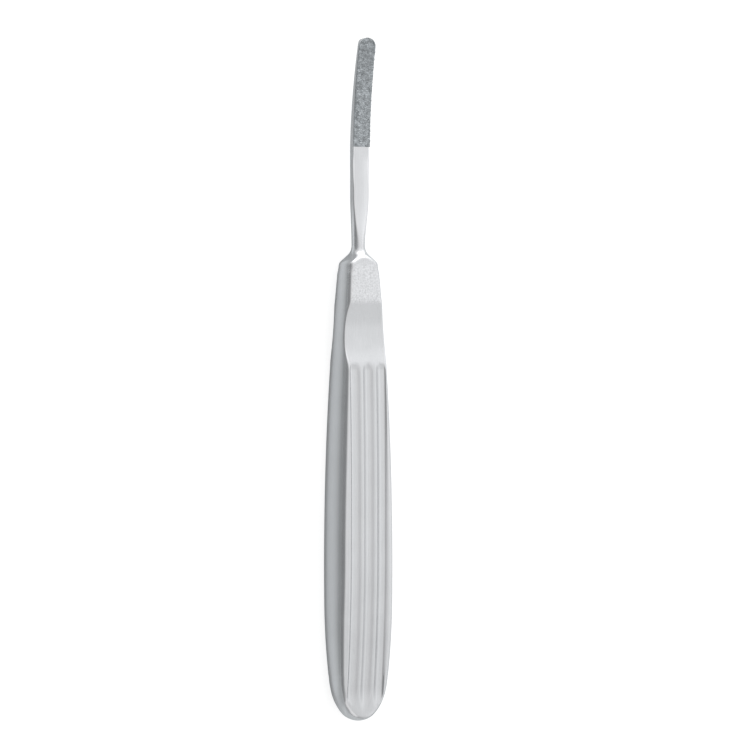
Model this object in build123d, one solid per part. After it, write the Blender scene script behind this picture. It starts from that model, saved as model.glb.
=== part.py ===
from build123d import *
from math import atan, atan2, cos, degrees, hypot, pi, sin, sqrt, tan
import os

# Bone file: a one-piece forged steel body with a curved blade, and the grit coat bonded to the blade.
# Places along the file are measured from the butt, heights from the axis of the handle.

# Lengths, butt to tip
HANDLE_LENGTH = 119.0
SHAFT_LENGTH = 28.2
GRIT_LENGTH = 27.8

# Handle seen from the side: level over the middle, then one large arc to each end
HALF_THICK = 5.40
REST_FROM, REST_TO = 43.0, 58.0
BUTT_HALF_THICK, SHOULDER_HALF_THICK = 2.68, 3.42

# Handle seen from the front: straight over the widest part, then one large arc to each end
HALF_WIDTH = 8.62
WIDE_FROM, WIDE_TO = 30.0, 38.0
BUTT_HALF_WIDTH, SHOULDER_HALF_WIDTH = 6.24, 4.97
SIDE_BULGE = 0.28

# Rounded butt, turned shoulder and fillet into the neck
BUTT_RADIUS = 5.8
BUTT_CHEEK_RADIUS = 15.0
BUTT_CHEEK_FROM = 2.2
SHOULDER_DROP = 1.8
SHOULDER_CORNER = 1.3
SHOULDER_SLOPE = 0.915
NECK_RADIUS = 1.73
NECK_FILLET = 3.2

# Thumb rest, one on each face, below the flat marking area
MARKING_LENGTH = 12.0
THUMB_LENGTH = 15.6
THUMB_DEPTH = 1.45
THUMB_BROW = 5.0

# Flutes, the same on each face
FLUTE_PITCH = 3.95
FLUTE_WIDTH = 3.05
FLUTE_DEPTH = 0.62
FLUTE_FROM = 4.5
FLUTE_FADE = 6.5
FLUTE_RUN_OUT = 3.0
FLUTE_PAST_BROW = 0.9

# Shaft between the neck and the blade
SHAFT_RADIUS = 2.44
SHAFT_FACE_WIDTH = 4.56
SHAFT_CORNER_HEIGHT = 1.52
SHAFT_CROWN = 0.18

# Blade
BLADE_WIDTH = 4.85
FACE_RADIUS = 140.0
BLADE_THICK_ROOT, BLADE_THICK_TIP = 3.22, 2.30
GROUND_LENGTH = 10.2
TIP_BACK_RADIUS = 1.9

# Grit coat
COAT_THICK = 0.45

# Room that cutters and blanks run past the finished shape
SPARE = 0.5

# Places that follow from the sizes above
LENGTH = HANDLE_LENGTH + SHAFT_LENGTH + GRIT_LENGTH
COAT_FROM = HANDLE_LENGTH + SHAFT_LENGTH
GROUND_FROM = COAT_FROM - GROUND_LENGTH
THUMB_TO = HANDLE_LENGTH - MARKING_LENGTH
THUMB_FROM = THUMB_TO - THUMB_LENGTH
FLUTE_END = THUMB_FROM + FLUTE_PAST_BROW
FLUTE_RADIUS = (FLUTE_WIDTH**2 / 4 + FLUTE_DEPTH**2) / (2 * FLUTE_DEPTH)
SHOULDER_AT = HANDLE_LENGTH - SHOULDER_DROP

# The ground face dips below the shaft's crown by a little more than the crown itself
FACE_DIP = 1.28 * SHAFT_CROWN
FACE_LOW = SHAFT_CORNER_HEIGHT + SHAFT_CROWN - FACE_DIP
FACE_LOW_AT = GROUND_FROM + sqrt(2 * FACE_RADIUS * FACE_DIP)


def arc_radius(span, fall):
    """Radius of an arc that leaves a level line and falls by fall over span."""
    return (span**2 + fall**2) / (2 * fall)


def outline_height(s, top, level_from, level_to, at_butt, at_shoulder):
    """A line that is level over the middle and falls on one arc to each end."""
    if level_from <= s <= level_to:
        return top
    if s < level_from:
        radius, run = arc_radius(level_from, top - at_butt), level_from - s
    else:
        radius, run = arc_radius(SHOULDER_AT - level_to, top - at_shoulder), s - level_to
    return top - radius + sqrt(radius**2 - run**2)


def half_thick(s):
    return outline_height(s, HALF_THICK, REST_FROM, REST_TO, BUTT_HALF_THICK, SHOULDER_HALF_THICK)


def half_width(s):
    return outline_height(s, HALF_WIDTH, WIDE_FROM, WIDE_TO, BUTT_HALF_WIDTH, SHOULDER_HALF_WIDTH)


def face_height(s):
    """Height of the ground face of the blade."""
    return FACE_LOW + FACE_RADIUS - sqrt(FACE_RADIUS**2 - (s - FACE_LOW_AT) ** 2)


def across(s):
    """Plane square to the file at s, its own x to the right and its own y up."""
    return Plane(origin=(0, s, 0), x_dir=(1, 0, 0), z_dir=(0, -1, 0))


def extrude_across(profile_face, width):
    """Solid of a side profile drawn in the (along, up) plane, spread to both sides."""
    return extrude(profile_face, amount=width / 2, both=True)


SIDE_VIEW = Plane(origin=(0, 0, 0), x_dir=(0, 1, 0), z_dir=(1, 0, 0))


# Handle

def handle_section(s):
    """Cross-section with level top and bottom and bowed sides, a little taller than the handle."""
    rise, bow = half_thick(s), half_width(s)
    sag = SIDE_BULGE * rise
    radius = (rise**2 + sag**2) / (2 * sag)
    top = rise + SPARE
    edge = bow - radius + sqrt(radius**2 - top**2)
    outline = (
        Line((edge, top), (-edge, top))
        + ThreePointArc((-edge, top), (-bow, 0), (-edge, -top))
        + Line((-edge, -top), (edge, -top))
        + ThreePointArc((edge, -top), (bow, 0), (edge, top))
    )
    return across(s) * make_face(outline)


def handle_corner(s):
    """Distance from the axis to the corner between face and side."""
    return hypot(half_width(s) - SIDE_BULGE * half_thick(s), half_thick(s))


def handle_sides():
    stations = [-3 * SPARE, 0.2 * WIDE_FROM, 0.47 * WIDE_FROM, 0.73 * WIDE_FROM, WIDE_FROM, WIDE_TO]
    left = HANDLE_LENGTH + NECK_FILLET + 2 * SPARE - WIDE_TO
    stations += [WIDE_TO + left * n / 6 for n in range(1, 7)]
    return loft([handle_section(s) for s in stations])


def side_outline():
    """Both faces of the handle seen from the side, as one closed outline."""
    low, high = -4 * SPARE, HANDLE_LENGTH + NECK_FILLET + 3 * SPARE
    butt = [(s, half_thick(s)) for s in (low, (low + REST_FROM) / 2, REST_FROM)]
    neck = [(s, half_thick(s)) for s in (REST_TO, (REST_TO + high) / 2, high)]
    upper = ThreePointArc(*butt) + Line(butt[2], neck[0]) + ThreePointArc(*neck)
    lower = mirror(upper, about=Plane.XZ)
    ends = Line(butt[0], (low, -butt[0][1])) + Line(neck[2], (high, -neck[2][1]))
    return upper + lower + ends


def shoulder_foot():
    """Where the shoulder's slope would meet the neck."""
    return SHOULDER_AT + SHOULDER_SLOPE * (handle_corner(SHOULDER_AT) - NECK_RADIUS)


def neck_from():
    """End of the turned neck, just past the fillet under the shoulder, where the bar comes out."""
    return shoulder_foot() + NECK_FILLET * tan(atan(1 / SHOULDER_SLOPE) / 2) + 0.3 * SPARE


def butt_and_shoulder():
    """Turned envelope that rounds the butt and forms the shoulder and the fillet into the neck."""
    r, cheek_r = BUTT_RADIUS, BUTT_CHEEK_RADIUS
    rim = sqrt(r**2 - (r - BUTT_CHEEK_FROM) ** 2)
    centre = (BUTT_CHEEK_FROM + cheek_r * (r - BUTT_CHEEK_FROM) / r, rim - cheek_r * rim / r)

    def cheek(s):
        return (s, centre[1] + sqrt(cheek_r**2 - (s - centre[0]) ** 2))

    cheek_to = centre[0] - 0.14 * cheek_r
    wide = HALF_WIDTH + 4 * SPARE
    shoulder = handle_corner(SHOULDER_AT)
    blank = SHOULDER_AT - SHOULDER_CORNER - SPARE
    end = neck_from()
    profile = (
        ThreePointArc(
            (0, 0),
            (BUTT_CHEEK_FROM / 2, sqrt(r**2 - (r - BUTT_CHEEK_FROM / 2) ** 2)),
            (BUTT_CHEEK_FROM, rim),
        )
        + ThreePointArc((BUTT_CHEEK_FROM, rim), cheek((BUTT_CHEEK_FROM + cheek_to) / 2), cheek(cheek_to))
        + Polyline(
            cheek(cheek_to),
            (cheek_to, wide),
            (blank, wide),
            (blank, handle_corner(blank) + 0.1 * SPARE),
            (SHOULDER_AT, shoulder),
            (shoulder_foot(), NECK_RADIUS),
            (end, NECK_RADIUS),
            (end, 0),
            (0, 0),
        )
    )
    face = make_face(profile)
    corner = face.vertices().sort_by_distance((SHOULDER_AT, shoulder))[0]
    face = fillet(corner, SHOULDER_CORNER)
    root = face.vertices().sort_by_distance((shoulder_foot(), NECK_RADIUS))[0]
    face = fillet(root, NECK_FILLET)
    return revolve(SIDE_VIEW * face, Axis.Y)


def thumb_rest():
    """Cutter that hollows the thumb rest in the upper face, with a rounded brow at each end."""
    low, high = half_thick(THUMB_FROM), half_thick(THUMB_TO)
    span = hypot(THUMB_LENGTH, high - low) + THUMB_BROW / 2
    turn = 2 * atan(2 * THUMB_DEPTH / span)
    hollow = span / 2 / sin(turn) - THUMB_BROW
    brow = (THUMB_BROW * sin(turn), THUMB_BROW * (1 - cos(turn)))
    half_brow = (THUMB_BROW * sin(turn / 2), THUMB_BROW * (1 - cos(turn / 2)))
    end = span / 2
    profile = (
        ThreePointArc((-end, 0), (-end + half_brow[0], -half_brow[1]), (-end + brow[0], -brow[1]))
        + ThreePointArc((-end + brow[0], -brow[1]), (0, -THUMB_DEPTH), (end - brow[0], -brow[1]))
        + ThreePointArc((end - brow[0], -brow[1]), (end - half_brow[0], -half_brow[1]), (end, 0))
        + Polyline((end, 0), (end, hollow), (-end, hollow), (-end, 0))
    )
    middle = Pos((THUMB_FROM + THUMB_TO) / 2, (low + high) / 2) * Rot(0, 0, degrees(atan2(high - low, THUMB_LENGTH)))
    return extrude_across(SIDE_VIEW * (middle * make_face(profile)), 4 * HALF_WIDTH)


def flute_path():
    """Centre line of the flute cutter: along the upper face, lifting out of it at both ends."""
    lift = FLUTE_RADIUS - FLUTE_DEPTH

    def over_face(s, depth):
        return (s, half_thick(s) + FLUTE_RADIUS - depth)

    full, out = FLUTE_FROM + FLUTE_FADE, FLUTE_END - FLUTE_RUN_OUT
    butt = ThreePointArc(*[over_face(s, FLUTE_DEPTH) for s in (full, (full + REST_FROM) / 2, REST_FROM)])
    neck = ThreePointArc(*[over_face(s, FLUTE_DEPTH) for s in (REST_TO, (REST_TO + out) / 2, out)])
    level = Line((REST_FROM, HALF_THICK + lift), (REST_TO, HALF_THICK + lift))
    fade = TangentArc(butt @ 0, over_face(FLUTE_FROM, 0), tangent=-(butt % 0))
    run_out = TangentArc(neck @ 1, over_face(FLUTE_END, 0), tangent=neck % 1)
    return fade + butt + level + neck + run_out


def flutes():
    """The three cutters of the upper face."""
    wire = Wire((SIDE_VIEW * flute_path()).edges())
    start = wire @ 0 if (wire @ 0).Y < (wire @ 1).Y else wire @ 1
    heading = wire % 0 if start == wire @ 0 else -(wire % 1)
    cutter = sweep(Plane(origin=start, x_dir=(1, 0, 0), z_dir=heading) * Circle(FLUTE_RADIUS), path=wire)
    return [Pos(n * FLUTE_PITCH, 0, 0) * cutter for n in (-1, 0, 1)]


def handle():
    solid = handle_sides() & extrude_across(SIDE_VIEW * make_face(side_outline()), 4 * HALF_WIDTH)
    solid = solid & butt_and_shoulder()
    cutters = [thumb_rest(), *flutes()]
    for cutter in cutters:
        solid = solid - cutter
    for cutter in cutters:
        solid = solid - mirror(cutter, about=Plane.XY)
    return solid


# Shaft and blade

def bar_section(s, radius, low, corner_height, crown):
    """Round bar with its lowest point at low and a slightly crowned front between two corners."""
    corner_half = sqrt(radius**2 - (corner_height - low - radius) ** 2)
    outline = ThreePointArc(
        (corner_half, corner_height), (0, corner_height + crown), (-corner_half, corner_height)
    ) + ThreePointArc((-corner_half, corner_height), (0, low), (corner_half, corner_height))
    return across(s) * make_face(outline)


def blade_thick(s):
    """Depth of the steel behind the ground face."""
    part = max(0, (s - COAT_FROM) / (LENGTH - COAT_FROM))
    return BLADE_THICK_ROOT + (BLADE_THICK_TIP - BLADE_THICK_ROOT) * part**1.3


def blade_back(s):
    return face_height(s) - blade_thick(s)


def eased(share):
    """Share from 0 to 1 that leaves and arrives level."""
    share = min(1, max(0, share))
    return share**2 * (3 - 2 * share)


def shaft_shape(s):
    """Radius, lowest point, corner height and crown, on the way from the round neck to the full shaft."""
    neck = NECK_RADIUS - 0.04 * SPARE
    full_low = SHAFT_CORNER_HEIGHT - SHAFT_RADIUS - sqrt(SHAFT_RADIUS**2 - (SHAFT_FACE_WIDTH / 2) ** 2)
    full = eased((s - neck_from()) / (0.87 * (GROUND_FROM - neck_from())))
    left = 1 - full
    crown = SHAFT_CROWN * full + 0.14 * neck * left**2
    return neck * left + SHAFT_RADIUS * full, full_low * full - neck * left, (
        0.854 * neck * left + SHAFT_CORNER_HEIGHT * full
    ), crown


def blade_shape(s):
    """The same for the blade before its face is ground, wide enough to leave the blade's width."""
    thick = blade_thick(s)
    radius = ((BLADE_WIDTH / 2) ** 2 + thick**2) / (2 * thick)
    return radius, blade_back(s), max(SHAFT_CORNER_HEIGHT, face_height(s) + 0.3 * SPARE), SHAFT_CROWN


def bar():
    """Blank of shaft and blade, before the face is ground and the tip is shaped."""
    first, last, count = neck_from() - 3 * SPARE, LENGTH + SPARE, 18
    sections = []
    for n in range(count + 1):
        s = first + (last - first) * n / count
        ground = eased((s - GROUND_FROM) / (0.8 * GROUND_LENGTH))
        shape = [a * (1 - ground) + b * ground for a, b in zip(shaft_shape(s), blade_shape(s))]
        sections.append(bar_section(s, *shape))
    return loft(sections)


def blade_outline(start):
    """Outline of the blade from the front, with its round tip."""
    half = BLADE_WIDTH / 2
    wide = half + 2 * SPARE
    waist = COAT_FROM - BLADE_WIDTH / 2
    side = [(half, LENGTH - half), (half, waist)]
    if start < waist:
        side += [(wide, waist - BLADE_WIDTH), (wide, start)]
    else:
        side[1] = (half, start)
    left = [(-x, s) for x, s in side]
    return (
        Polyline(*side)
        + Line(side[-1], left[-1])
        + Polyline(*left)
        + ThreePointArc((half, LENGTH - half), (0, LENGTH), (-half, LENGTH - half))
    )


def face_arc(start, end, lift):
    """Piece of the blade's face line, lifted square to itself."""
    centre = (FACE_LOW_AT, FACE_LOW + FACE_RADIUS)
    radius = FACE_RADIUS - lift

    def at(s):
        return (s, centre[1] - sqrt(radius**2 - (s - centre[0]) ** 2))

    return ThreePointArc(at(start), at((start + end) / 2), at(end)), at(start), at(end)


def over_face(start, end, thick):
    """Side profile of what stands on the blade's face, thick deep, as a solid across the blade."""
    lower, low_start, low_end = face_arc(start, end, 0)
    upper, up_start, up_end = face_arc(start, end, thick)
    outline = lower + upper + Line(low_start, up_start) + Line(low_end, up_end)
    return extrude_across(SIDE_VIEW * make_face(outline), 4 * BLADE_WIDTH)


def tip_back():
    """Corner that is rounded off behind the tip."""
    r = TIP_BACK_RADIUS
    end = LENGTH + 6 * SPARE
    slope = atan2(blade_back(LENGTH) - blade_back(LENGTH - 2 * r), 2 * r)
    centre = (LENGTH - r, blade_back(LENGTH - r) + r / cos(slope))

    def on_arc(angle):
        return (centre[0] + r * cos(angle), centre[1] + r * sin(angle))

    start = on_arc(slope - pi / 2)
    floor = start[1] - 2 * r
    outline = (
        ThreePointArc(start, on_arc((slope - pi / 2) / 2), on_arc(0))
        + Polyline(on_arc(0), (end, centre[1]), (end, floor), (start[0], floor), start)
    )
    return extrude_across(SIDE_VIEW * make_face(outline), 4 * BLADE_WIDTH)


def blade_and_shaft():
    outline = blade_outline(HANDLE_LENGTH)
    solid = bar() & extrude(make_face(outline), amount=2 * HALF_WIDTH, both=True)
    solid = solid - over_face(GROUND_FROM - GROUND_LENGTH / 2, LENGTH + 4 * SPARE, 2 * BLADE_WIDTH)
    return solid - tip_back()


def one_solid(shape):
    return max(shape.solids(), key=lambda s: s.volume)


def place(shape):
    """Middle of the length at y 0, lowest point of the handle at z 0."""
    return Pos(0, -LENGTH / 2, HALF_THICK) * shape


def file_body():
    return place(one_solid(handle() + blade_and_shaft()))


def grit_coat():
    plan = extrude(make_face(blade_outline(COAT_FROM)), amount=2 * HALF_WIDTH, both=True)
    return place(one_solid(over_face(COAT_FROM - SPARE, LENGTH + SPARE, COAT_THICK) & plan))


os.makedirs("parts", exist_ok=True)
export_step(file_body(), "parts/file_body.step")
export_step(grit_coat(), "parts/grit_coat.step")
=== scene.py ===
from math import atan, atan2, cos, hypot, pi, radians, sin, sqrt, tan

import bpy
import numpy as np
from mathutils import Matrix, Vector


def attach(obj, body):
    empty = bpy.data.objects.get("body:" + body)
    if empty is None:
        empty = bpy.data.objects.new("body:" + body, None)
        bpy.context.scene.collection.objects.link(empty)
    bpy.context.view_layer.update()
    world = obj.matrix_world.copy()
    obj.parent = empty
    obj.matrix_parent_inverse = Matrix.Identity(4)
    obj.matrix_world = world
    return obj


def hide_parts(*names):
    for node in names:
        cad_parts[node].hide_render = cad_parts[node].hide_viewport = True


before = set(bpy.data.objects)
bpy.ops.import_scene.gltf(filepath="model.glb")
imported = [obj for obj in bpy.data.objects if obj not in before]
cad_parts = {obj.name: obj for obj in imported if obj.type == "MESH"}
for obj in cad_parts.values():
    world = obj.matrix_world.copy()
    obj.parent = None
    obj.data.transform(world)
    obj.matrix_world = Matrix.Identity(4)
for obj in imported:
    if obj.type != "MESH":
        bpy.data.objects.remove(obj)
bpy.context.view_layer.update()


# Steel body
# One forged bar of stainless steel: butt, fluted handle with a thumb rest on each face, turned shoulder and neck,
# shaft and blade. Ground to shape with the arrises broken by hand, then satin finished.
# Sizes are in millimetres, s runs from the butt to the tip and heights start at the handle's axis.

MM = 0.001
LENGTH = 175.0
HALF_THICK, BUTT_HALF_THICK, SHOULDER_HALF_THICK = 5.40, 2.68, 3.42
HALF_WIDTH, BUTT_HALF_WIDTH, SHOULDER_HALF_WIDTH = 8.62, 6.24, 4.97
SIDE_BOW = 0.28
BUTT_BALL = 5.8
FLUTE_PITCH, FLUTE_HALF = 3.95, 1.525
SHOULDER_AT = 117.2
NECK_RADIUS, NECK_FILLET, NECK_TO = 1.73, 3.2, 122.0
SHAFT_RADIUS, SHAFT_LOW, SHAFT_CORNER, SHAFT_CROWN = 2.44, -1.789, 1.52, 0.18
BLADE_HALF, BLADE_THICK, BLADE_THINS = 2.425, 3.22, 0.92
COAT_FROM, GROUND_FROM, GROUND_LENGTH = 147.2, 137.0, 10.2
FACE_RADIUS, FACE_LOW, FACE_DIP = 140.0, 1.4696, 0.2304
FACE_LOW_AT = GROUND_FROM + sqrt(2 * FACE_RADIUS * FACE_DIP)


def level_then_arcs(s, top, level_from, level_to, at_butt, at_shoulder):
    """A handle outline: level over the middle, one large arc down to each end."""
    butt_r = (level_from**2 + (top - at_butt) ** 2) / (2 * (top - at_butt))
    span = SHOULDER_AT - level_to
    neck_r = (span**2 + (top - at_shoulder) ** 2) / (2 * (top - at_shoulder))
    butt_run = np.clip(level_from - s, 0, None)
    neck_run = np.clip(s - level_to, 0, None)
    return top - butt_r + np.sqrt(butt_r**2 - butt_run**2) - neck_r + np.sqrt(neck_r**2 - neck_run**2)


def half_thick(s):
    return level_then_arcs(s, HALF_THICK, 43.0, 58.0, BUTT_HALF_THICK, SHOULDER_HALF_THICK)


def half_width(s):
    return level_then_arcs(s, HALF_WIDTH, 30.0, 38.0, BUTT_HALF_WIDTH, SHOULDER_HALF_WIDTH)


def side_radius(rise):
    """Radius of the bowed side where the handle's face stands this high."""
    return rise * (1 + SIDE_BOW**2) / (2 * SIDE_BOW)


def side_x(s, height):
    """How far out the bowed side stands at a height."""
    radius = side_radius(half_thick(s))
    return half_width(s) - radius + np.sqrt(np.clip(radius**2 - height**2, 0, None))


def thumb_rest_height(s):
    """The hollow of the thumb rest between its two rounded brows, and the plain face beyond them."""
    first, last, depth, brow = 91.4, 107.0, 1.45, 5.0
    low, high = half_thick(first), half_thick(last)
    end = (hypot(last - first, high - low) + brow / 2) / 2
    turn = 2 * atan(depth / end)
    hollow = end / sin(turn) - brow
    u = np.abs(s - (first + last) / 2)
    middle = depth - hollow + np.sqrt(np.clip(hollow**2 - u**2, 0, None))
    edge = np.clip(end - u, 0, None)
    over_brow = brow - np.sqrt(np.clip(brow**2 - edge**2, 0, None))
    dip = np.where(u < end - brow * sin(turn), middle, over_brow)
    chord = low + (high - low) * (s - first) / (last - first)
    return np.where(u < end, chord - dip, 99.0)


LINE_STEP, STROKE_SPREAD = 0.05, 0.95
line_s = np.arange(-2.0, 126.0, LINE_STEP)
line_h = np.minimum(half_thick(line_s), thumb_rest_height(line_s))
stroke = np.exp(-(np.arange(-60, 61) * LINE_STEP / STROKE_SPREAD) ** 2 / 2)
softened = np.convolve(line_h, stroke / stroke.sum(), mode="same")
at_brow = np.exp(-((line_s - 91.6) / 2.6) ** 4)
line_h = line_h + (softened - line_h) * at_brow


def face_line(s):
    """The handle's face from the side, with the thumb rest's lower brow eased by hand into the flutes."""
    return np.interp(s, line_s, line_h)


def turned_radius(s):
    """Radius left by the turning: round butt, shoulder with its corner, and the fillet into the neck."""
    ball, cheek, meet = BUTT_BALL, 15.0, 2.2
    rim = sqrt(ball**2 - (ball - meet) ** 2)
    centre = (meet + cheek * (ball - meet) / ball, rim - cheek * rim / ball)
    on_ball = np.sqrt(np.clip(ball**2 - (ball - np.clip(s, 0, ball)) ** 2, 0, None))
    on_cheek = centre[1] + np.sqrt(np.clip(cheek**2 - (np.minimum(s, centre[0]) - centre[0]) ** 2, 0, None))
    radius = np.where(s < meet, on_ball, on_cheek + np.clip(s - centre[0], 0, None))
    corner = hypot(SHOULDER_HALF_WIDTH - SIDE_BOW * SHOULDER_HALF_THICK, SHOULDER_HALF_THICK)
    slope, bend = 0.915, 1.3
    half_turn = atan(1 / slope) / 2
    foot = SHOULDER_AT + slope * (corner - NECK_RADIUS)
    bend_from = SHOULDER_AT - bend * tan(half_turn)
    on_bend = corner - bend + np.sqrt(np.clip(bend**2 - np.clip(s - bend_from, 0, bend) ** 2, 0, None))
    on_cone = corner - (s - SHOULDER_AT) / slope
    neck_from = foot + NECK_FILLET * tan(half_turn)
    root = NECK_RADIUS + NECK_FILLET - np.sqrt(NECK_FILLET**2 - np.clip(neck_from - s, 0, NECK_FILLET) ** 2)
    cone_from = SHOULDER_AT + bend * tan(half_turn) * cos(2 * half_turn)
    cone_to = foot - NECK_FILLET * tan(half_turn) * cos(2 * half_turn)
    radius = np.where(s > 108.0, corner + 0.16 * (bend_from - s) ** 2, radius)
    radius = np.where(s > bend_from, on_bend, radius)
    radius = np.where(s > cone_from, on_cone, radius)
    return np.where(s > cone_to, root, radius)


def face_height(s):
    """The blade's ground face, one long arc."""
    return FACE_LOW + FACE_RADIUS - np.sqrt(FACE_RADIUS**2 - (s - FACE_LOW_AT) ** 2)


def eased(share):
    """Share from 0 to 1 that leaves and arrives level."""
    share = np.clip(share, 0, 1)
    return share**2 * (3 - 2 * share)


def bar_shape(s):
    """Radius of the round back, half width and height of the two front corners, and the crown between them."""
    s = np.maximum(s, NECK_TO)
    full = eased((s - NECK_TO) / (0.87 * (GROUND_FROM - NECK_TO)))
    left = 1 - full
    part = np.clip((s - COAT_FROM) / (LENGTH - COAT_FROM), 0, 1)
    thick = BLADE_THICK - BLADE_THINS * part**1.3
    face = face_height(s)
    ground = eased((s - GROUND_FROM) / (0.8 * GROUND_LENGTH))

    def from_neck(neck, shaft, blade):
        return (neck * left + shaft * full) * (1 - ground) + blade * ground

    radius = from_neck(NECK_RADIUS, SHAFT_RADIUS, (BLADE_HALF**2 + thick**2) / (2 * thick))
    low = from_neck(-NECK_RADIUS, SHAFT_LOW, face - thick)
    height = from_neck(0.854 * NECK_RADIUS, SHAFT_CORNER, np.maximum(SHAFT_CORNER, face + 0.15))
    half = np.sqrt(np.clip(radius**2 - (height - low - radius) ** 2, 0.01, None))
    return radius, half, height, 0.146 * NECK_RADIUS * left**2 + SHAFT_CROWN * full


def blade_half_at(s):
    """Half the blade's width, down to nothing at the end of its round tip."""
    into_tip = np.clip(s - LENGTH + BLADE_HALF, 0, None)
    return np.minimum(BLADE_HALF, np.sqrt(np.clip(BLADE_HALF**2 - into_tip**2, 0, None)))


def blunt(a, b, size):
    """The further out of two surfaces, with the arris between them broken to about this size."""
    near = np.clip(size - np.abs(a - b), 0, None) / np.maximum(size, 1e-6)
    return np.maximum(a, b) + size * near**2 / 4, near**2


def handle_surface(x, s, h):
    """Below zero inside the handle; second value is how near an arris the point is, raised at the thumb rest's lower
    brow and on the butt's rim, where it carries a painted highlight.
    """
    x, h = np.abs(x), np.abs(h)
    rise = half_thick(s)
    side_r = side_radius(rise)
    face = h - face_line(s)
    side = np.hypot(x - half_width(s) + side_r, h) - side_r
    in_rest = eased((s - 89.5) / 4) * eased((109.5 - s) / 4)
    out, arris = blunt(face, side, 0.85 - 0.40 * in_rest)
    # The arris mark is raised most at the thumb rest's lower brow, where it paints a highlight into the steel's
    # colour.
    arris = arris * (1 + 3.4 * np.exp(-((s - 93.8) / 2.6) ** 2))
    # The flutes get shallow at both ends, and their outer walls are steeper than the inner ones.
    flute_r, depth = 2.1854, 0.62
    upper_end, upper_run, lower_end, lower_run = 89.8, 2.4, 9.5, 5.8
    run_out = np.clip((s - upper_end) / upper_run, 0, None) ** 2
    run_out = run_out + np.clip((lower_end - s) / lower_run, 0, None) ** 2
    axis_height = rise + flute_r - depth + depth * run_out
    middle = flute_r - np.hypot(x, h - axis_height)
    out, _edge = blunt(out, middle, 0.42)
    off = x - FLUTE_PITCH
    outer_wall = off > 0
    steep = np.where(outer_wall, FLUTE_HALF * (np.abs(off) / FLUTE_HALF) ** 2.3, off)
    outer = flute_r - np.hypot(steep, h - axis_height)
    out, _edge = blunt(out, outer, np.where(outer_wall, 0.16, 0.42))
    # The turned rim is broken widest at the butt, and a little wider again at the shoulder.
    rim = 0.32 + 1.05 * np.clip((10.0 - s) / 8.0, 0, 1) + 0.40 * eased((s - 112.5) / 3.5)
    out, edge = blunt(out, np.hypot(x, h) - turned_radius(s), rim)
    # On the butt's rim the turned edge joins the arris mark: a painted highlight along the rim.
    on_rim = np.clip(h / rise - 0.55, 0, 0.3) / 0.3 * np.clip((11.0 - s) / 3, 0, 1)
    return out, np.maximum(arris, 0.5 * edge * on_rim)


def bar_surface(x, s, h):
    """The same for the shaft and the blade."""
    x = np.abs(x)
    radius, half, height, crown = bar_shape(s)
    back = np.hypot(x, h - height + np.sqrt(np.clip(radius**2 - half**2, 0, None))) - radius
    front_r = (half**2 + crown**2) / (2 * crown)
    front = np.hypot(x, h - height - crown + front_r) - front_r
    leaving = eased((s - NECK_TO) / 7)
    out, arris = blunt(front, back, 0.30 * leaving)
    arris = arris * leaving**2
    edge_fall = 0.22 * (x / BLADE_HALF) ** 2 * eased((146.5 - s) / 4)
    ground = h - face_height(s) + edge_fall
    out, _edge = blunt(out, ground, 0.05)
    waist = COAT_FROM - BLADE_HALF
    wide = BLADE_HALF + np.clip(waist - s, 0, 9) / 4.85
    tip = np.hypot(x, np.clip(s - LENGTH + BLADE_HALF, 0, None)) - BLADE_HALF
    outline = np.where(s > LENGTH - BLADE_HALF, tip, x - wide)
    out, edge = blunt(out, outline, 0.26)
    arris = np.maximum(arris, edge)
    tip_r, thick_end, thick_in = 1.9, 2.30, 2.4616
    back_end = float(face_height(np.array([LENGTH]))[0]) - thick_end
    back_in = float(face_height(np.array([LENGTH - 2 * tip_r]))[0]) - thick_in
    lean = atan2(back_end - back_in, 2 * tip_r)
    centre = (LENGTH - tip_r, (back_end + back_in) / 2 + tip_r / cos(lean))
    from_s, from_h = s - centre[0], h - centre[1]
    heel = np.hypot(from_s, from_h) - tip_r
    behind = (from_s > -tip_r * sin(lean) - 0.3) & (from_h < 0)
    out = np.where(behind, np.maximum(out, heel), out)
    return out, arris


def spaced(places):
    """Stations along the file from (start, end, step) runs."""
    runs = [np.arange(start, end - step / 2, step) for start, end, step in places]
    return np.concatenate(runs)


butt_turn = np.linspace(0.035, 1.06, 26)
butt_end = BUTT_BALL * (1 - np.cos(butt_turn))
tip_turn = np.linspace(1.35, 0.03, 26)
tip_end = LENGTH - BLADE_HALF * (1 - np.cos(tip_turn))
middle = spaced([
    (3.05, 12.0, 0.26), (12.0, 86.0, 1.6), (86.0, 93.2, 0.16), (93.2, 108.8, 0.3), (108.8, 112.0, 0.8),
    (112.0, 116.4, 0.4), (116.4, 122.4, 0.11), (122.4, 137.0, 0.55), (137.0, 149.0, 0.28), (149.0, 172.9, 0.7),
])
stations = np.concatenate([butt_end, middle[middle > butt_end[-1] + 0.1], tip_end[tip_end > 172.9]])

# Rays go out from a small rectangle inside each section: up and down over the faces, fanned at the corners.
RAYS_HALF, RAYS_DEPTH = 5.22, 0.38
by_wall = (-0.16, -0.08, -0.03, 0.02, 0.07, 0.13, 0.2)
half_rays = [0.0]
for centre in (0.0, FLUTE_PITCH):
    near = [centre + side * (FLUTE_HALF + off) for side in (-1, 1) for off in by_wall]
    across = list(np.linspace(centre - 1.2, centre + 1.2, 9))
    half_rays += [x for x in near + across if 0.05 < x < RAYS_HALF]
half_rays = np.array(sorted(set(np.round(half_rays, 3))))
keep = np.concatenate([[True], np.diff(half_rays) > 0.03])
half_rays = half_rays[keep]
EDGE_RAYS = 4

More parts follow.
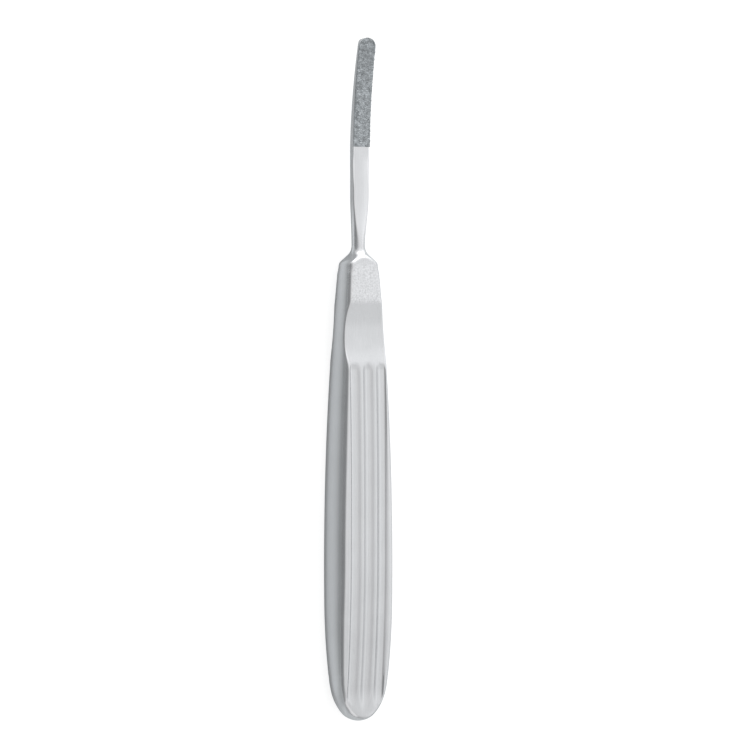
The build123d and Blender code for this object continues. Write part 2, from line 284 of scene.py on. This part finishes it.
handle_s = np.minimum(stations, 121.9)
face_top = face_line(handle_s)
turned = turned_radius(handle_s)
handle_a = np.minimum(side_x(handle_s, face_top) - RAYS_DEPTH, 0.74 * turned)
handle_top = np.minimum(face_top - RAYS_DEPTH, 0.50 * turned)
_radius, corner, height, _crown = bar_shape(stations)
bar_edge = np.where(stations > 143.5, blade_half_at(stations), corner)
bar_a = bar_edge - np.minimum(0.42, 0.24 * bar_edge)
face_at = np.minimum(height, np.where(stations > GROUND_FROM, face_height(stations), height))
bar_top = face_at - 0.40 + 0.26 * np.clip((stations - 171.5) / 3.3, 0, 1)
bar_low = np.minimum(bar_top - 0.04, face_at - 0.9 + 0.70 * np.clip((stations - 170.0) / 4.6, 0, 1))
on_bar = np.clip((stations - 119.8) / 2.2, 0, 1)
ray_a = handle_a * (1 - on_bar) + bar_a * on_bar
ray_top = handle_top * (1 - on_bar) + bar_top * on_bar
ray_low = -handle_top * (1 - on_bar) + bar_low * on_bar

inner = np.minimum(RAYS_HALF, 0.92 * ray_a)
inside_rays = half_rays[None, :] * (inner / RAYS_HALF)[:, None]
outer_rays = inner[:, None] + (ray_a - inner)[:, None] * (np.arange(1, EDGE_RAYS + 1) / EDGE_RAYS)[None, :]
right = np.concatenate([inside_rays, outer_rays], axis=1)
front_x = np.concatenate([-right[:, :0:-1], right], axis=1)
fan = np.linspace(-1, 1, 14)[1:-1]
fan = radians(45) + radians(45) * (0.55 * fan + 0.45 * fan**3)
SIDE_RAYS = 14
side_share = (np.arange(SIDE_RAYS) / (SIDE_RAYS - 1))[None, :]
side_h = ray_top[:, None] + (ray_low - ray_top)[:, None] * side_share
fan_ones = np.ones((len(stations), len(fan)))
a, top, low = ray_a[:, None], ray_top[:, None], ray_low[:, None]
start_x = np.concatenate([
    front_x, a * fan_ones, a + 0 * side_h, a * fan_ones,
    front_x[:, ::-1], -a * fan_ones, -a + 0 * side_h, -a * fan_ones,
], axis=1)
start_h = np.concatenate([
    top + 0 * front_x, top * fan_ones, side_h, low * fan_ones,
    low + 0 * front_x, low * fan_ones, side_h[:, ::-1], top * fan_ones,
], axis=1)
way = np.concatenate([
    np.full(front_x.shape[1], pi / 2), pi / 2 - fan, np.zeros(SIDE_RAYS), -fan,
    np.full(front_x.shape[1], -pi / 2), -pi / 2 - fan, np.full(SIDE_RAYS, pi), pi - fan,
])
way_x, way_h = np.cos(way)[None, :], np.sin(way)[None, :]
s_grid = stations[:, None] + 0 * start_x


def surface(x, s, h):
    """The whole body: the handle up to the neck, shaft and blade beyond it."""
    handle, handle_arris = handle_surface(x, np.minimum(s, NECK_TO), h)
    bar, bar_arris = bar_surface(x, np.maximum(s, 120.5), h)
    on_shaft = s > NECK_TO
    return np.where(on_shaft, bar, handle), np.where(on_shaft, bar_arris, handle_arris)


# The way out along each ray is halved until it ends on the surface.
near_d, far_d = np.full(start_x.shape, -0.6), np.full(start_x.shape, 9.0)
for _ in range(30):
    mid_d = (near_d + far_d) / 2
    value, _arris = surface(start_x + mid_d * way_x, s_grid, start_h + mid_d * way_h)
    near_d, far_d = np.where(value < 0, mid_d, near_d), np.where(value < 0, far_d, mid_d)
out_x, out_h = start_x + near_d * way_x, start_h + near_d * way_h
_value, arris_share = surface(out_x, s_grid, out_h)


def ring_mesh(name, x, s, h):
    """Mesh from rings of points along the file, in metres, each end closed on a middle point. Wound inward."""
    rings, around = x.shape
    points = np.stack([x, s - LENGTH / 2, h + HALF_THICK], axis=2).reshape(-1, 3) * MM
    first = np.array([[0.0, -LENGTH / 2, h[0].mean() + HALF_THICK]]) * MM
    last = np.array([[0.0, LENGTH / 2, h[-1].mean() + HALF_THICK]]) * MM
    points = np.concatenate([points, first, last])
    i = np.arange(rings - 1)[:, None] * around
    j = np.arange(around)[None, :]
    k = (j + 1) % around
    quads = np.stack([i + j, i + around + j, i + around + k, i + k], axis=2).reshape(-1, 4)
    faces = [tuple(int(v) for v in q) for q in quads]
    n = rings * around
    faces += [(n, int(p), int((p + 1) % around)) for p in range(around)]
    end = (rings - 1) * around
    faces += [(n + 1, end + int((p + 1) % around), end + int(p)) for p in range(around)]
    mesh = bpy.data.meshes.new(name)
    mesh.from_pydata([tuple(p) for p in points], [], faces)
    mesh.update()
    mesh.shade_smooth()
    return mesh


body_mesh = ring_mesh("steel_body", out_x, s_grid, out_h)
# The arris mark goes on the mesh for the material, which lightens the colour there: rubbed wear and painted
# highlight.
arris_wear_and_highlight = body_mesh.attributes.new("arris", "FLOAT", "POINT")
arris_wear_and_highlight.data.foreach_set("value", np.concatenate([arris_share.reshape(-1), [0.0, 0.0]]).astype(np.float32))
body = bpy.data.objects.new("steel_body", body_mesh)
bpy.context.scene.collection.objects.link(body)


def satin_grain():
    """Node group: the fine pits of the satin finish and the faint lengthwise marks of the grinding belt."""
    group = bpy.data.node_groups.new("satin grain", "ShaderNodeTree")
    face = group.interface
    face.new_socket("Place", in_out="INPUT", socket_type="NodeSocketVector")
    face.new_socket("Pit Size", in_out="INPUT", socket_type="NodeSocketFloat").default_value = 0.00012
    face.new_socket("Pits", in_out="OUTPUT", socket_type="NodeSocketFloat")
    face.new_socket("Belt Marks", in_out="OUTPUT", socket_type="NodeSocketFloat")
    face.new_socket("Cloud", in_out="OUTPUT", socket_type="NodeSocketFloat")
    nodes, link = group.nodes, group.links.new
    inside, outside = nodes.new("NodeGroupInput"), nodes.new("NodeGroupOutput")
    scale = nodes.new("ShaderNodeMath")
    scale.operation = "DIVIDE"
    scale.inputs[0].default_value = 1.0
    link(inside.outputs["Pit Size"], scale.inputs[1])
    pits = nodes.new("ShaderNodeTexNoise")
    pits.inputs["Detail"].default_value = 3
    pits.inputs["Roughness"].default_value = 0.6
    link(inside.outputs["Place"], pits.inputs["Vector"])
    link(scale.outputs[0], pits.inputs["Scale"])
    stretch = nodes.new("ShaderNodeVectorMath")
    stretch.operation = "MULTIPLY"
    stretch.inputs[1].default_value = (5200, 170, 5200)
    link(inside.outputs["Place"], stretch.inputs[0])
    belt = nodes.new("ShaderNodeTexNoise")
    belt.inputs["Scale"].default_value = 1
    belt.inputs["Detail"].default_value = 4
    link(stretch.outputs[0], belt.inputs["Vector"])
    cloud = nodes.new("ShaderNodeTexNoise")
    cloud.inputs["Scale"].default_value = 160
    cloud.inputs["Detail"].default_value = 4
    link(inside.outputs["Place"], cloud.inputs["Vector"])
    link(pits.outputs["Fac"], outside.inputs["Pits"])
    link(belt.outputs["Fac"], outside.inputs["Belt Marks"])
    link(cloud.outputs["Fac"], outside.inputs["Cloud"])
    return group


grain_group = satin_grain()


def add_node(nodes, kind, **settings):
    node = nodes.new(kind)
    for name, value in settings.items():
        setattr(node, name, value)
    return node


def ranged(tree, source, low_in, high_in, low_out, high_out):
    """Value carried from one range to another."""
    node = tree.nodes.new("ShaderNodeMapRange")
    for name, value in (("From Min", low_in), ("From Max", high_in), ("To Min", low_out), ("To Max", high_out)):
        node.inputs[name].default_value = value
    tree.links.new(source, node.inputs["Value"])
    return node.outputs["Result"]


def combined(tree, operation, first, second):
    """Two values of the graph, or a value and a number, put together by one operation."""
    node = tree.nodes.new("ShaderNodeMath")
    node.operation = operation
    for socket, source in zip(node.inputs, (first, second)):
        if isinstance(source, (int, float)):
            socket.default_value = source
        else:
            tree.links.new(source, socket)
    return node.outputs[0]


def steel_material():
    """Satin stainless steel: matt handle, finer polish on shaft and blade, arrises rubbed bright with a painted
    highlight, neck lifted as a painted highlight.
    """
    material = bpy.data.materials.new("satin_steel")
    material.use_nodes = True
    tree = material.node_tree
    nodes, link = tree.nodes, tree.links.new
    nodes.clear()
    output = nodes.new("ShaderNodeOutputMaterial")
    shader = nodes.new("ShaderNodeBsdfPrincipled")
    link(shader.outputs[0], output.inputs["Surface"])
    shader.inputs["Metallic"].default_value = 1.0
    place = nodes.new("ShaderNodeTexCoord")
    grain = add_node(nodes, "ShaderNodeGroup", node_tree=grain_group)
    link(place.outputs["Object"], grain.inputs["Place"])
    grain.inputs["Pit Size"].default_value = 0.00013
    along = nodes.new("ShaderNodeSeparateXYZ")
    link(place.outputs["Object"], along.inputs[0])
    # Places along the file, in metres from its middle.
    polish_from, polish_to = 0.0320, 0.0380
    flat_from, flat_full, flat_fades, flat_to = 0.0193, 0.0200, 0.0290, 0.0312
    neck_from, neck_full, neck_fades, neck_to = 0.0310, 0.0350, 0.0400, 0.0500
    polished = ranged(tree, along.outputs["Y"], polish_from, polish_to, 0.0, 1.0)
    arris = add_node(nodes, "ShaderNodeAttribute", attribute_name="arris")
    tone = ranged(tree, grain.outputs["Cloud"], 0.3, 0.7, -0.012, 0.012)
    marks = ranged(tree, grain.outputs["Belt Marks"], 0.3, 0.7, -0.014, 0.014)
    pits = ranged(tree, grain.outputs["Pits"], 0.3, 0.7, -0.02, 0.02)
    level = combined(tree, "ADD", combined(tree, "ADD", tone, marks), pits)
    # Arrises lighter in colour: partly rubbed wear, partly a painted highlight.
    rubbed_and_highlight = combined(tree, "MULTIPLY", arris.outputs["Fac"], 0.09)
    facing = nodes.new("ShaderNodeNewGeometry")
    up = nodes.new("ShaderNodeSeparateXYZ")
    link(facing.outputs["Normal"], up.inputs[0])
    facing_up = ranged(tree, up.outputs["Z"], 0.80, 0.97, 0.0, 1.0)
    flat_begins = ranged(tree, along.outputs["Y"], flat_from, flat_full, 0.0, 1.0)
    flat_ends = ranged(tree, along.outputs["Y"], flat_to, flat_fades, 0.0, 1.0)
    on_flat = combined(tree, "MULTIPLY", facing_up, combined(tree, "MULTIPLY", flat_begins, flat_ends))
    frost = nodes.new("ShaderNodeTexNoise")
    frost.inputs["Scale"].default_value = 2400
    frost.inputs["Detail"].default_value = 2
    link(place.outputs["Object"], frost.inputs["Vector"])
    speckle = combined(tree, "MULTIPLY", on_flat, ranged(tree, frost.outputs["Fac"], 0.3, 0.7, -0.05, 0.13))
    # Painted highlight: the neck's colour is lifted by up to 0.05 between the shoulder and the shaft.
    neck = combined(tree, "MULTIPLY", ranged(tree, along.outputs["Y"], neck_from, neck_full, 0.0, 0.05),
                    ranged(tree, along.outputs["Y"], neck_fades, neck_to, 1.0, 0.0))
    bright = combined(tree, "ADD", combined(tree, "MULTIPLY", polished, 0.03),
                      combined(tree, "ADD", neck, speckle))
    steel_tone = 0.58
    shade = combined(tree, "ADD", combined(tree, "ADD", level, rubbed_and_highlight), bright)
    shade = combined(tree, "ADD", shade, steel_tone)
    colour = nodes.new("ShaderNodeCombineColor")
    link(shade, colour.inputs["Red"])
    link(combined(tree, "MULTIPLY", shade, 0.998), colour.inputs["Green"])
    link(combined(tree, "MULTIPLY", shade, 1.017), colour.inputs["Blue"])
    link(colour.outputs[0], shader.inputs["Base Color"])
    rough = combined(tree, "SUBTRACT", 0.25, combined(tree, "MULTIPLY", polished, 0.06))
    rough = combined(tree, "ADD", rough, combined(tree, "MULTIPLY", tone, 1.6))
    rough = combined(tree, "SUBTRACT", rough, combined(tree, "MULTIPLY", arris.outputs["Fac"], 0.06))
    rough = combined(tree, "ADD", rough, combined(tree, "MULTIPLY", on_flat, 0.10))
    link(rough, shader.inputs["Roughness"])
    relief = combined(tree, "ADD", grain.outputs["Pits"],
                      combined(tree, "MULTIPLY", grain.outputs["Belt Marks"], 0.5))
    matt = ranged(tree, polished, 0.0, 1.0, 1.0, 0.4)
    bump = nodes.new("ShaderNodeBump")
    bump.inputs["Strength"].default_value = 0.35
    bump.inputs["Distance"].default_value = 0.000006
    link(combined(tree, "MULTIPLY", relief, matt), bump.inputs["Height"])
    link(bump.outputs[0], shader.inputs["Normal"])
    return material


steel = steel_material()
body.data.materials.append(steel)
for slot in bpy.data.objects["file_body"].material_slots:
    slot.material = steel
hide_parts("file_body")
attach(body, "root")


# Grit coat
# Abrasive grains bonded to the front face of the blade in a thin metal layer, up to its edges and round its tip.
# The grains stand in the layer at random, each with its own facets, and the layer ends in a ragged step at the shaft.

GRIT_STEP = 0.055
COAT_BASE, COAT_TOP = 0.20, 0.44
rng = np.random.default_rng(7)
grit_s = np.arange(COAT_FROM + 0.02, LENGTH - 0.005, GRIT_STEP)
grit_s = np.append(grit_s, LENGTH - 0.008)
grit_half = blade_half_at(grit_s) - 0.004
ACROSS = 88
share = np.sin(np.linspace(-1, 1, ACROSS) * pi / 2 * 0.92) / sin(pi / 2 * 0.92)
grit_x = grit_half[:, None] * share[None, :]
grit_along = grit_s[:, None] + 0 * grit_x
CELL, SEEDS_HALF, SEEDS_LENGTH, SEEDS_BEFORE = 0.42, 3.0, 30, 1.0
cells_x, cells_s = int(2 * SEEDS_HALF / CELL), int(SEEDS_LENGTH / CELL)
seed_x = (np.arange(cells_x)[:, None] + rng.uniform(0, 1, (cells_x, cells_s))) * CELL - SEEDS_HALF
seed_s = (np.arange(cells_s)[None, :] + rng.uniform(0, 1, (cells_x, cells_s))) * CELL + COAT_FROM - SEEDS_BEFORE
seed_top = rng.uniform(0.35, 1.0, (cells_x, cells_s))
seed_lean = rng.uniform(0, 2 * pi, (cells_x, cells_s))
seed_steep = rng.uniform(0.7, 1.5, (cells_x, cells_s))
column = np.floor((grit_x + SEEDS_HALF) / CELL).astype(int)
row = np.floor((grit_along - COAT_FROM + SEEDS_BEFORE) / CELL).astype(int)
grains = np.zeros_like(grit_x)
for dc in (-1, 0, 1):
    for dr in (-1, 0, 1):
        c = np.clip(column + dc, 0, cells_x - 1)
        r = np.clip(row + dr, 0, cells_s - 1)
        dx, ds = grit_x - seed_x[c, r], grit_along - seed_s[c, r]
        turned_x = dx * np.cos(seed_lean[c, r]) + ds * np.sin(seed_lean[c, r])
        turned_s = -dx * np.sin(seed_lean[c, r]) + ds * np.cos(seed_lean[c, r])
        facets = np.maximum.reduce([
            turned_x, -0.5 * turned_x + 0.87 * turned_s, -0.5 * turned_x - 0.87 * turned_s,
        ])
        fall = np.clip(facets / CELL * 1.5 * seed_steep[c, r], 0.12, 9)
        grains = np.maximum(grains, seed_top[c, r] * (1.25 - fall))
grains = np.clip(grains, 0, 1)
coat_height = COAT_BASE + (COAT_TOP - COAT_BASE) * grains
under_coat = face_height(grit_along)
slope = (grit_along - FACE_LOW_AT) / FACE_RADIUS
lifted_s = np.minimum(grit_along - coat_height * slope, LENGTH - 0.003)
lifted_h = under_coat + coat_height * np.sqrt(1 - slope**2)
rows, cols = grit_x.shape
upper = np.stack([grit_x, lifted_s, lifted_h], axis=2).reshape(-1, 3)
lower = np.stack([grit_x, grit_along, under_coat - 0.004], axis=2).reshape(-1, 3)
points = np.concatenate([upper, lower])
points[:, 1] -= LENGTH / 2
points[:, 2] += HALF_THICK
i = np.arange(rows - 1)[:, None] * cols
j = np.arange(cols - 1)[None, :]
quads = np.stack([i + j, i + j + 1, i + cols + j + 1, i + cols + j], axis=2).reshape(-1, 4)
faces = [tuple(int(v) for v in q) for q in quads]
n = rows * cols
faces += [tuple(int(v) + n for v in q[::-1]) for q in quads]
rim = [(0, c) for c in range(cols)] + [(r, cols - 1) for r in range(1, rows)]
rim += [(rows - 1, c) for c in range(cols - 2, -1, -1)] + [(r, 0) for r in range(rows - 2, 0, -1)]
rim = [r * cols + c for r, c in rim]
faces += [(p, p + n, q + n, q) for p, q in zip(rim, rim[1:] + rim[:1])]
coat_mesh = bpy.data.meshes.new("grit_layer")
coat_mesh.from_pydata([tuple(p) for p in points * MM], [], faces)
coat_mesh.update()
stand = coat_mesh.attributes.new("grain_height", "FLOAT", "POINT")
stand.data.foreach_set("value", np.concatenate([grains.reshape(-1), np.zeros(n)]).astype(np.float32))
coat = bpy.data.objects.new("grit_layer", coat_mesh)
bpy.context.scene.collection.objects.link(coat)


def grit_material():
    """Grains held in dull grey metal, with painted shade darker between the grains and a painted highlight paler on
    their tops, each grain its own shade.
    """
    material = bpy.data.materials.new("bonded_grit")
    material.use_nodes = True
    tree = material.node_tree
    nodes, link = tree.nodes, tree.links.new
    nodes.clear()
    output = nodes.new("ShaderNodeOutputMaterial")
    shader = nodes.new("ShaderNodeBsdfPrincipled")
    link(shader.outputs[0], output.inputs["Surface"])
    place = nodes.new("ShaderNodeTexCoord")
    grain = add_node(nodes, "ShaderNodeGroup", node_tree=grain_group)
    link(place.outputs["Object"], grain.inputs["Place"])
    grain.inputs["Pit Size"].default_value = 0.00006
    stones = nodes.new("ShaderNodeTexVoronoi")
    stones.inputs["Scale"].default_value = 1600
    link(place.outputs["Object"], stones.inputs["Vector"])
    own = nodes.new("ShaderNodeSeparateColor")
    link(stones.outputs["Color"], own.inputs[0])
    stand = add_node(nodes, "ShaderNodeAttribute", attribute_name="grain_height")
    # Painted shade and highlight: the colour runs from darker low between the grains to paler on their tops.
    shade = combined(tree, "ADD", ranged(tree, stand.outputs["Fac"], 0.1, 0.9, 0.325, 0.385),
                     ranged(tree, own.outputs["Red"], 0.0, 1.0, -0.022, 0.022))
    patches = nodes.new("ShaderNodeTexNoise")
    patches.inputs["Scale"].default_value = 800
    patches.inputs["Detail"].default_value = 2
    link(place.outputs["Object"], patches.inputs["Vector"])
    shade = combined(tree, "ADD", shade, ranged(tree, patches.outputs["Fac"], 0.35, 0.65, -0.085, 0.085))
    colour = nodes.new("ShaderNodeCombineColor")
    for name, tint in (("Red", 0.95), ("Green", 1.0), ("Blue", 1.04)):
        link(combined(tree, "MULTIPLY", shade, tint), colour.inputs[name])
    link(colour.outputs[0], shader.inputs["Base Color"])
    shader.inputs["Metallic"].default_value = 0.75
    link(ranged(tree, own.outputs["Green"], 0.0, 1.0, 0.42, 0.58), shader.inputs["Roughness"])
    bump = nodes.new("ShaderNodeBump")
    bump.inputs["Strength"].default_value = 0.4
    bump.inputs["Distance"].default_value = 0.00001
    link(grain.outputs["Pits"], bump.inputs["Height"])
    link(bump.outputs[0], shader.inputs["Normal"])
    return material


grit = grit_material()
coat.data.materials.append(grit)
for slot in bpy.data.objects["grit_coat"].material_slots:
    slot.material = grit
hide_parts("grit_coat")
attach(coat, "root")


# Floor
# The white sheet that the file lies on, face up, as it comes to rest. The camera sees it plain white; in the steel it
# mirrors in zones of pale and darker grey, as the photo shows them on the file's sides.

floor_mesh = bpy.data.meshes.new("floor")
floor_mesh.from_pydata([(-3, -3, 0), (3, -3, 0), (3, 3, 0), (-3, 3, 0)], [], [(0, 1, 2, 3)])
floor = bpy.data.objects.new("floor", floor_mesh)
bpy.context.scene.collection.objects.link(floor)
floor_paint = bpy.data.materials.new("white_sheet")
floor_paint.use_nodes = True
sheet = floor_paint.node_tree
sheet.nodes.clear()


def sheet_shader(glow):
    """The sheet's paint, with a little light of its own."""
    shader = sheet.nodes.new("ShaderNodeBsdfPrincipled")
    shader.inputs["Roughness"].default_value = 0.9
    shader.inputs["Specular IOR Level"].default_value = 0.0
    shader.inputs["Emission Color"].default_value = (1, 1, 1, 1)
    shader.inputs["Emission Strength"].default_value = glow
    return shader


sheet_place = sheet.nodes.new("ShaderNodeTexCoord")
sheet_way = sheet.nodes.new("ShaderNodeSeparateXYZ")
sheet.links.new(sheet_place.outputs["Object"], sheet_way.inputs[0])


def tone_across(stops, across=sheet_way.outputs["X"]):
    """Tone of the sheet from left to right as the steel mirrors it, a painted reflection, by millimetres from the
    middle.
    """
    ramp = sheet.nodes.new("ShaderNodeValToRGB")
    sheet.links.new(ranged(sheet, across, -0.04, 0.04, 0, 1), ramp.inputs["Fac"])
    marks = ramp.color_ramp.elements
    while len(marks) < len(stops):
        marks.new(0.5)
    for mark, (where, level) in zip(marks, stops):
        mark.position = (where + 40) / 80
        mark.color = (level * 0.96, level * 0.99, level, 1)
    return ramp.outputs["Color"]


def tone_beyond(start, end, first, second):
    """One tone up to start along the file, the other from end on."""
    mix = sheet.nodes.new("ShaderNodeMix")
    mix.data_type = "RGBA"
    sheet.links.new(ranged(sheet, sheet_way.outputs["Y"], start, end, 0.0, 1.0), mix.inputs["Factor"])
    sheet.links.new(first, mix.inputs[6])
    sheet.links.new(second, mix.inputs[7])
    return mix.outputs[2]


# What the steel mirrors of the sheet is painted: pale and darker grey zones as painted reflections along the file.
by_butt = tone_across([(-20, 0.50), (-8, 0.78), (8, 0.72), (30, 0.55)])
# A painted shadow under the handle, seen only in the steel: a darker band that narrows towards the shoulder as the
# handle does.
narrower = ranged(sheet, sheet_way.outputs["Y"], -0.0495, 0.0330, 0.0, 1.0)
narrower = combined(sheet, "MULTIPLY", combined(sheet, "MULTIPLY", narrower, narrower), 0.0036)
side_sign = combined(sheet, "SIGN", sheet_way.outputs["X"], 0.0)
beside_handle = combined(sheet, "ADD", sheet_way.outputs["X"], combined(sheet, "MULTIPLY", side_sign, narrower))
by_handle = tone_across([
    (-34, 0.34), (-13, 0.92), (-9.9, 0.92), (-8.6, 0.58), (8.2, 0.58), (10.0, 0.84), (30, 0.84),
], beside_handle)
by_blade = tone_across([(-10, 0.56), (14, 0.90)])
by_tip = tone_across([(-10, 0.40), (14, 0.80)])
painted_reflection = tone_beyond(-0.088, -0.081, by_butt, by_handle)
painted_reflection = tone_beyond(0.038, 0.046, painted_reflection, by_blade)
painted_reflection = tone_beyond(0.055, 0.088, painted_reflection, by_tip)
painted_reflection = tone_beyond(0.088, 0.115, painted_reflection, tone_across([(-40, 0.95), (40, 0.95)]))
in_steel, in_picture = sheet_shader(0.07), sheet_shader(0.84)
sheet.links.new(painted_reflection, in_steel.inputs["Base Color"])
in_picture.inputs["Base Color"].default_value = (0.28, 0.28, 0.28, 1)
seen = sheet.nodes.new("ShaderNodeMixShader")
sheet.links.new(sheet.nodes.new("ShaderNodeLightPath").outputs["Is Camera Ray"], seen.inputs["Fac"])
sheet.links.new(in_steel.outputs[0], seen.inputs[1])
sheet.links.new(in_picture.outputs[0], seen.inputs[2])
sheet.links.new(seen.outputs[0], sheet.nodes.new("ShaderNodeOutputMaterial").inputs["Surface"])
floor_mesh.materials.append(floor_paint)


# Studio light
# A white tent with its darker opening low on the left, and two soft boxes: a large one beyond the blade's tip and
# a small one beyond the butt.

world = bpy.data.worlds.new("tent")
bpy.context.scene.world = world
world.use_nodes = True
tent = world.node_tree
tent_place = tent.nodes.new("ShaderNodeTexCoord")
tent_way = tent.nodes.new("ShaderNodeSeparateXYZ")
tent.links.new(tent_place.outputs["Generated"], tent_way.inputs[0])


def tent_ramp(axis, stops):
    """Brightness of the tent along one axis, from -1 to 1."""
    ramp = tent.nodes.new("ShaderNodeValToRGB")
    tent.links.new(ranged(tent, tent_way.outputs[axis], -1, 1, 0, 1), ramp.inputs["Fac"])
    marks = ramp.color_ramp.elements
    while len(marks) < len(stops):
        marks.new(0.5)
    for mark, (where, level, tint) in zip(marks, stops):
        mark.position = (where + 1) / 2
        mark.color = (level * (1 - tint), level, level * (1 + tint * 0.3), 1)
    return ramp.outputs["Color"]


across_tone = tent_ramp("X", [
    (-1.0, 0.155, 0.03), (-0.94, 0.16, 0.03), (-0.80, 0.205, 0.02), (-0.53, 0.33, 0.01), (-0.30, 0.45, 0.01),
    (0.0, 0.505, 0.012), (0.30, 0.51, 0.015), (0.53, 0.51, 0.018), (0.66, 0.575, 0.018), (0.80, 0.60, 0.018),
    (0.90, 0.50, 0.018), (1.0, 0.44, 0.018),
])
along_tone = tent_ramp("Y", [
    (-0.95, 0.22, 0.0), (-0.62, 0.43, 0.0), (-0.3, 0.435, 0.0), (-0.14, 0.43, 0.0), (0.0, 0.50, 0.0),
    (0.15, 0.49, 0.0), (0.3, 0.50, 0.0), (0.5, 0.56, 0.0), (0.9, 0.70, 0.0),
])
tent_mix = tent.nodes.new("ShaderNodeMix")
tent_mix.data_type, tent_mix.blend_type = "RGBA", "MULTIPLY"
tent_mix.inputs["Factor"].default_value = 1.0
tent.links.new(across_tone, tent_mix.inputs[6])
tent.links.new(along_tone, tent_mix.inputs[7])
back = tent.nodes["Background"]
tent.links.new(tent_mix.outputs[2], back.inputs["Color"])
back.inputs["Strength"].default_value = 4.45


def soft_box(name, place, aim, width, height, watts):
    """A rectangular lamp turned towards a point."""
    light = bpy.data.lights.new(name, "AREA")
    light.shape = "RECTANGLE"
    light.size, light.size_y, light.energy = width, height, watts
    lamp = bpy.data.objects.new(name, light)
    lamp.location = place
    lamp.rotation_euler = (Vector(aim) - Vector(place)).to_track_quat("-Z", "Y").to_euler()
    bpy.context.scene.collection.objects.link(lamp)


soft_box("tip_box", (0.30, 1.1, 0.30), (0, 0.03, 0), 1.3, 0.7, 3.6)
soft_box("butt_box", (-0.25, -0.9, 0.40), (0, -0.08, 0), 0.9, 0.60, 0.9)

bpy.context.scene.view_settings.view_transform = "Standard"
bpy.context.scene.view_settings.look = "None"


# Camera
# Long lens looking down on the file, turned 32 degrees about its length so the left side shows.

VIEW_TURN, DISTANCE, VIEW_WIDTH = radians(32), 1.30, 0.1925
to_camera = Vector((-sin(VIEW_TURN), 0, cos(VIEW_TURN)))
view_right = Vector((cos(VIEW_TURN), 0, sin(VIEW_TURN)))
view_up = Vector((0, 1, 0))
AXIS_HEIGHT, AIM_RIGHT, AIM_UP = 0.0054, 0.0043, 0.0012
aim = Vector((0, 0, AXIS_HEIGHT)) + view_right * AIM_RIGHT + view_up * AIM_UP
lens = bpy.data.cameras.new("camera")
lens.sensor_width = 36
lens.lens = 36 * DISTANCE / VIEW_WIDTH
lens.clip_start, lens.clip_end = 0.05, 20
camera = bpy.data.objects.new("camera", lens)
camera_turn = Matrix((view_right, view_up, to_camera)).transposed().to_4x4()
camera.matrix_world = Matrix.Translation(aim + to_camera * DISTANCE) @ camera_turn
bpy.context.scene.collection.objects.link(camera)
bpy.context.scene.camera = camera
